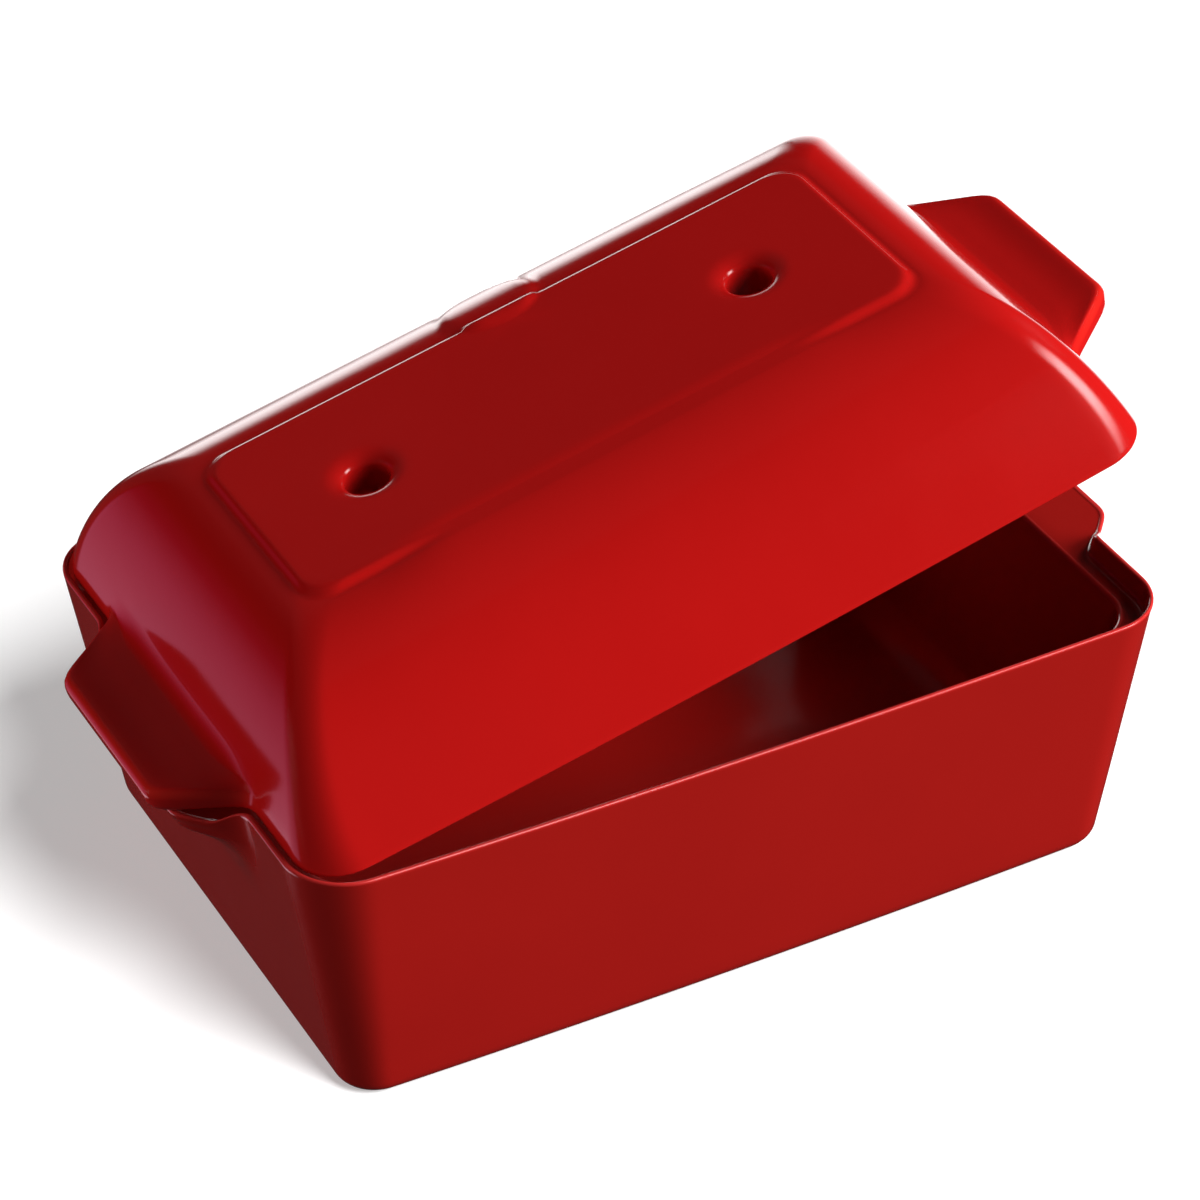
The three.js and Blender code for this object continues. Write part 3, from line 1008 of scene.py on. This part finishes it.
lid_rings = []
hollow_top = lid_ring(1.0, ceiling, LID_THICKNESS)
for share in CEILING_SHARES:
    lid_rings.append(ring_between(hollow_top, patch_ring(ceiling), share) | {"bow": 0.0})
hollow_end = share_at(LID_EDGE_RADIUS / ceiling)
for step in (0.0, *shares(HOLLOW_STEPS)):
    lid_rings.append(lid_ring(1 - step * (1 - hollow_end), ceiling, LID_THICKNESS))
for angle in quarter(LOWER_EDGE_STEPS)[1:]:
    wall = LID_THICKNESS - LID_EDGE_RADIUS * (1 - math.cos(angle))
    height = LID_EDGE_RADIUS * (1 - math.sin(angle))
    lid_rings.append(lid_ring(0.0, ceiling, wall, more_height=height))
under_reach = LID_HANDLE_LENGTH - HANDLE_EDGE_RADIUS
for share in shares(UNDERSIDE_STEPS):
    wall = LID_THICKNESS - LID_EDGE_RADIUS + (2 * LID_EDGE_RADIUS - LID_THICKNESS) * share
    lid_rings.append(lid_ring(0.0, LID_HEIGHT, wall, more_tab=(under_reach + wall) * share))

# %% Lid profile: edge of the handle
LID_EDGE_STEPS = 5
HANDLE_TOP_STEPS = 6
HANDLE_EDGE_THIN = 0.8
# Beside the handle its rings climb the wall: where they start, and how far they go for each radian
ROOT_START = 0.5
ROOT_CLIMB = 2.1


def handle_ring(side_height, reach, handle_height, wall=0.0, thin=0.0):
    """A ring that lies at one height along the sides and at another, further out, over the handles."""
    one = lid_ring(share_at(side_height / LID_HEIGHT), LID_HEIGHT, 0.0)
    inset = one["end_inset"] / MM
    return {
        **one,
        "end_inset": (inset + wall) * MM,
        "side_inset": one["side_inset"] + wall * MM,
        "tab": (reach + inset + wall) * MM,
        "lift": handle_height * MM - one["height"],
        "thin": thin,
    }


for angle in quarter(LID_EDGE_STEPS)[1:]:
    wall = LID_EDGE_RADIUS * (1 - math.sin(angle))
    reach = LID_HANDLE_LENGTH - HANDLE_EDGE_RADIUS * (1 - math.sin(angle))
    side_height = LID_EDGE_RADIUS * (1 - math.cos(angle))
    handle_height = HANDLE_EDGE_RADIUS * (1 - math.cos(angle))
    lid_rings.append(handle_ring(side_height, reach, handle_height, wall=wall))
for angle in quarter(HANDLE_TOP_STEPS):
    handle_height = LID_HANDLE_THICKNESS - HANDLE_EDGE_RADIUS * (1 - math.sin(angle))
    reach = LID_HANDLE_LENGTH - HANDLE_EDGE_RADIUS * (1 - math.cos(angle))
    side_height = LID_EDGE_RADIUS + ROOT_START + ROOT_CLIMB * angle
    thin = HANDLE_EDGE_THIN * math.sin(2 * angle)
    lid_rings.append(handle_ring(side_height, reach, handle_height, thin=thin))

# %% Lid profile: dished handle top and the fillet into the end wall
DISH_STEPS = 8
DISH_CLIMB = 0.16
DISH_FALL = 0.3
FILLET_STEPS = 9

for share in shares(DISH_STEPS):
    reach = under_reach + (LID_HANDLE_FILLET - under_reach) * share
    dish = LID_HANDLE_DISH * math.sin(math.pi * share) + DISH_FALL * share
    side_height += DISH_CLIMB
    lid_rings.append(handle_ring(side_height, reach, LID_HANDLE_THICKNESS - dish))
fillet_base = LID_HANDLE_THICKNESS - DISH_FALL
for angle in quarter(FILLET_STEPS)[1:]:
    handle_height = fillet_base + LID_HANDLE_FILLET * (1 - math.cos(angle))
    wall_inset = lid_ring(share_at(handle_height / LID_HEIGHT), LID_HEIGHT, 0.0)["end_inset"] / MM
    reach = LID_HANDLE_FILLET * (1 - math.sin(angle)) - wall_inset
    lid_rings.append(handle_ring(handle_height, reach, handle_height))

# %% Lid profile: shoulder and panel
SHOULDER_STEPS = 36
PANEL_STEPS = 16
PANEL_TOP_STEPS = 5
PANEL_CORNER_SHARE = 0.4
# The soft rise starts on the shoulder, and these shares of it are reached before and over the step
SOFT_START = 0.72
SOFT_BEFORE_STEP = 0.5
SOFT_OVER_STEP = 0.22

fillet_end = share_at(handle_height / LID_HEIGHT)
for step in shares(SHOULDER_STEPS):
    share = fillet_end + (1 - fillet_end) * step
    soft = max(0.0, (share - SOFT_START) / (1 - SOFT_START)) ** 2 * SOFT_BEFORE_STEP
    lid_rings.append(lid_ring(share, LID_HEIGHT, 0.0, soft=soft, boss=1.0))
for share in shares(PANEL_STEPS):
    passed = share**PANEL_STEEPNESS
    ahead = (1 - share) ** PANEL_STEEPNESS
    inset = PANEL_STEP * share
    step_values = {
        "more_end_inset": inset,
        "more_side_inset": inset,
        "more_corner": inset * PANEL_CORNER_SHARE,
        "sharp": passed / (passed + ahead),
        "soft": SOFT_BEFORE_STEP + SOFT_OVER_STEP * share,
        "boss": 1.0,
    }
    lid_rings.append(lid_ring(1.0, LID_HEIGHT, 0.0, **step_values))
panel_edge = lid_rings[-1]
panel_middle = patch_ring(LID_HEIGHT, sharp=1.0)
soft_left = 1 - SOFT_BEFORE_STEP - SOFT_OVER_STEP
for share in shares(PANEL_TOP_STEPS):
    between = ring_between(panel_edge, panel_middle, share)
    soft = 1 - soft_left * (1 - share) ** 2
    lid_rings.append(between | {"bow": 0.0, "soft": soft, "boss": 1 - share})
print("lid profile:", len(lid_rings), "rings")

# %% Lid shell
NEARLY_ZERO = 1e-6
FADE_FULL = 0.6
FADE_NONE = 0.88
HANDLE_THIN_FULL = 0.5
HANDLE_THIN_NONE = 0.75

station_x, station_y, station_turn = STATIONS.T
# Along the middle of the front the panel's step is the soft one
along_front = np.where(station_y < 0, np.abs(station_x), 1.0)
is_front = np.abs(station_turn + math.pi / 2) < NEARLY_ZERO
fade = np.clip((FADE_NONE - along_front) / (FADE_NONE - FADE_FULL), 0, 1) * is_front
fade = fade * fade * (3 - 2 * fade)
# The glaze is thin on the edges of the handles, but not where the same rings pass along the walls
is_end = np.abs(np.sin(station_turn)) < NEARLY_ZERO
across_end = (HANDLE_THIN_NONE - np.abs(station_y)) / (HANDLE_THIN_NONE - HANDLE_THIN_FULL)
thin_at_handles = np.clip(across_end, 0, 1) * is_end
lid_sizes = {
    "Half Length": LID_HALF_LENGTH * MM,
    "Half Width": LID_HALF_WIDTH * MM,
    "Side Bow": SIDE_BOW * MM,
    "Handle Flat": (HANDLE_FLAT - LID_INSET) * MM,
    "Handle Root": (HANDLE_ROOT - LID_INSET) * MM,
    "Handle Rounding": HANDLE_ROUNDING,
    "Panel Rise": PANEL_RISE * MM,
    "Boss Radius": BOSS_RADIUS * MM,
    "Boss Offset": BOSS_OFFSET * MM,
    "Boss Rise": BOSS_RISE * MM,
}
lid_grid = sweep_grid("lid_grid", lid_rings, fade, thin_at_handles)
shell_mesh = grow("lid_shell", lid_grid, casting_sweep, lid_sizes, lid_glaze)
print("lid shell:", len(shell_mesh.polygons), "faces")

# %% [markdown]
# ## Steam vents
#
# Two round holes go through the top, each with a softly rolled mouth. Cutting them with a boolean leaves
# ragged faces, which glossy glaze shows at once. The shell was therefore left open in the middle of the
# panel, and a sheet of rings closes it: from the rim of the opening to the mouth, down the hole, and
# back out along the ceiling. The two vents are the same, so one sheet is made and the tree sets it
# twice, the second time turned half round.

# %% The vent sheet
SEAM_STEPS = 20
MOUTH_SPREADS = (1.0, 0.75, 0.5, 0.28, 0.12, 0.04, 0.0)
MOUTH_STEPS = 12
SHAFT_SHARES = (0.4, 0.8)
VENT_EXIT_RADIUS = 1.0
VENT_EXIT_STEPS = 4
CEILING_SPREADS = (0.08, 0.3, 0.6, 1.0)

# The loop goes round the right half of the opening and back along the middle
loop_points = [(0.0, -patch_width)]
for core_x, core_y, angle in STATIONS[station_x > NEARLY_ZERO]:
    loop_x = core_x * (patch_length - patch_corner) + patch_corner * math.cos(angle)
    loop_y = core_y * (patch_width - patch_corner) + patch_corner * math.sin(angle)
    loop_points.append((loop_x, loop_y))
for i in range(SEAM_STEPS):
    loop_points.append((0.0, patch_width * (1 - 2 * i / SEAM_STEPS)))
loop_points = np.array(loop_points)

# A row is a radius, a height, how far it spreads from the circle to the loop, and how thin its glaze is
panel_top = LID_HEIGHT + PANEL_RISE
vent_rows = []
for spread in MOUTH_SPREADS:
    vent_rows.append((VENT_MOUTH_RADIUS, panel_top, spread, 0.0))
for angle in quarter(MOUTH_STEPS)[1:]:
    radius = VENT_MOUTH_RADIUS - (VENT_MOUTH_RADIUS - VENT_RADIUS) * math.sin(angle)
    vent_rows.append((radius, panel_top - VENT_MOUTH_DEPTH * (1 - math.cos(angle)), 0.0, 0.0))
shaft_top = panel_top - VENT_MOUTH_DEPTH
shaft_end = ceiling + VENT_EXIT_RADIUS
for share in SHAFT_SHARES:
    vent_rows.append((VENT_RADIUS, shaft_top + (shaft_end - shaft_top) * share, 0.0, 0.0))
for angle in quarter(VENT_EXIT_STEPS):
    radius = VENT_RADIUS + VENT_EXIT_RADIUS * (1 - math.cos(angle))
    vent_rows.append((radius, ceiling + VENT_EXIT_RADIUS * (1 - math.sin(angle)), 0.0, math.sin(angle)))
for spread in CEILING_SPREADS:
    vent_rows.append((VENT_RADIUS + VENT_EXIT_RADIUS, ceiling, spread, 0.0))

vent_grid = grid_mesh("vent_grid", len(vent_rows), len(loop_points))
write_attribute(vent_grid, "loop_x", np.tile(loop_points[:, 0] * MM, len(vent_rows)))
write_attribute(vent_grid, "loop_y", np.tile(loop_points[:, 1] * MM, len(vent_rows)))
for index, (key, unit) in enumerate((("radius", MM), ("height", MM), ("spread", 1), ("thin", 1))):
    column = [row[index] * unit for row in vent_rows]
    write_attribute(vent_grid, key, np.repeat(column, len(loop_points)))
print("vent sheet:", len(vent_grid.polygons), "faces")

# %% The vent tree


def vent_tree():
    tree, source, result = new_tree("steam_vents", ("Vent Spacing",))
    offset = Term(tree, source.outputs["Vent Spacing"]) * 0.5
    at = {name: attribute_term(tree, name) for name in ("loop_x", "loop_y", "radius", "height", "spread")}
    across = at["loop_x"] - offset
    distance = (across * across + at["loop_y"] * at["loop_y"]).math("SQRT")
    # Points of the loop slide along their own ray to the circle round the vent
    scale = (at["radius"] / distance) * at["spread"].math("MULTIPLY_ADD", -1.0, 1.0) + at["spread"]
    point = tree.nodes.new("ShaderNodeCombineXYZ")
    for socket, term in zip(point.inputs, (across * scale + offset, at["loop_y"] * scale, at["height"])):
        tree.links.new(term.socket, socket)
    place = tree.nodes.new("GeometryNodeSetPosition")
    tree.links.new(source.outputs["Geometry"], place.inputs["Geometry"])
    tree.links.new(point.outputs["Vector"], place.inputs["Position"])

    pair = tree.nodes.new("GeometryNodeMeshLine")
    pair.inputs["Count"].default_value = 2
    pair.inputs["Offset"].default_value = (0, 0, 0)
    index = Term(tree, tree.nodes.new("GeometryNodeInputIndex").outputs[0])
    half_turn = tree.nodes.new("ShaderNodeCombineXYZ")
    tree.links.new((index * math.pi).socket, half_turn.inputs["Z"])
    copies = tree.nodes.new("GeometryNodeInstanceOnPoints")
    tree.links.new(pair.outputs["Mesh"], copies.inputs["Points"])
    tree.links.new(place.outputs["Geometry"], copies.inputs["Instance"])
    tree.links.new(half_turn.outputs["Vector"], copies.inputs["Rotation"])
    real = tree.nodes.new("GeometryNodeRealizeInstances")
    tree.links.new(copies.outputs["Instances"], real.inputs["Geometry"])
    glazed = tree.nodes.new("GeometryNodeSetMaterial")
    tree.links.new(real.outputs["Geometry"], glazed.inputs["Geometry"])
    tree.links.new(source.outputs["Finish"], glazed.inputs["Material"])
    tree.links.new(glazed.outputs["Geometry"], result.inputs["Geometry"])
    print("tree:", tree.name, len(tree.nodes), "nodes")
    return tree


vents_mesh = grow("vents", vent_grid, vent_tree(), {"Vent Spacing": VENT_SPACING * MM}, lid_glaze)
print("vents:", len(vents_mesh.polygons), "faces")

# %% [markdown]
# ## Joining and tipping the lid
#
# Shell and vents were made in the lid's own frame, with the lower edge at zero. They are joined into one
# closed mesh and tipped about the hinge line that the frame gives, so the lid rests where its solid
# rests.

# %% Lid
joined = bmesh.new()
joined.from_mesh(shell_mesh)
joined.from_mesh(vents_mesh)
lid_mesh = bpy.data.meshes.new("lid")
joined.to_mesh(lid_mesh)
joined.free()
lid_mesh.materials.append(lid_glaze)
closed_place = Matrix.Translation((0, 0, (SEAT_LEVEL + SEAT_GAP) * MM))
tip = Matrix.Rotation(-LID_TILT, 4, "Y")
lid_mesh.transform(Matrix.Translation(hinge_line) @ tip @ Matrix.Translation(-hinge_line) @ closed_place)
lid = finish_piece("glazed_lid", lid_mesh, "lid", "lid")
for piece, node in ((pan, "base_pan"), (lid, "lid")):
    low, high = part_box(node)
    points = np.array([v.co for v in piece.data.vertices])
    slack = [(points.min(0) - np.array(low)) / MM, (points.max(0) - np.array(high)) / MM]
    print(piece.name, "against its solid, mm:", np.round(slack, 2).tolist())
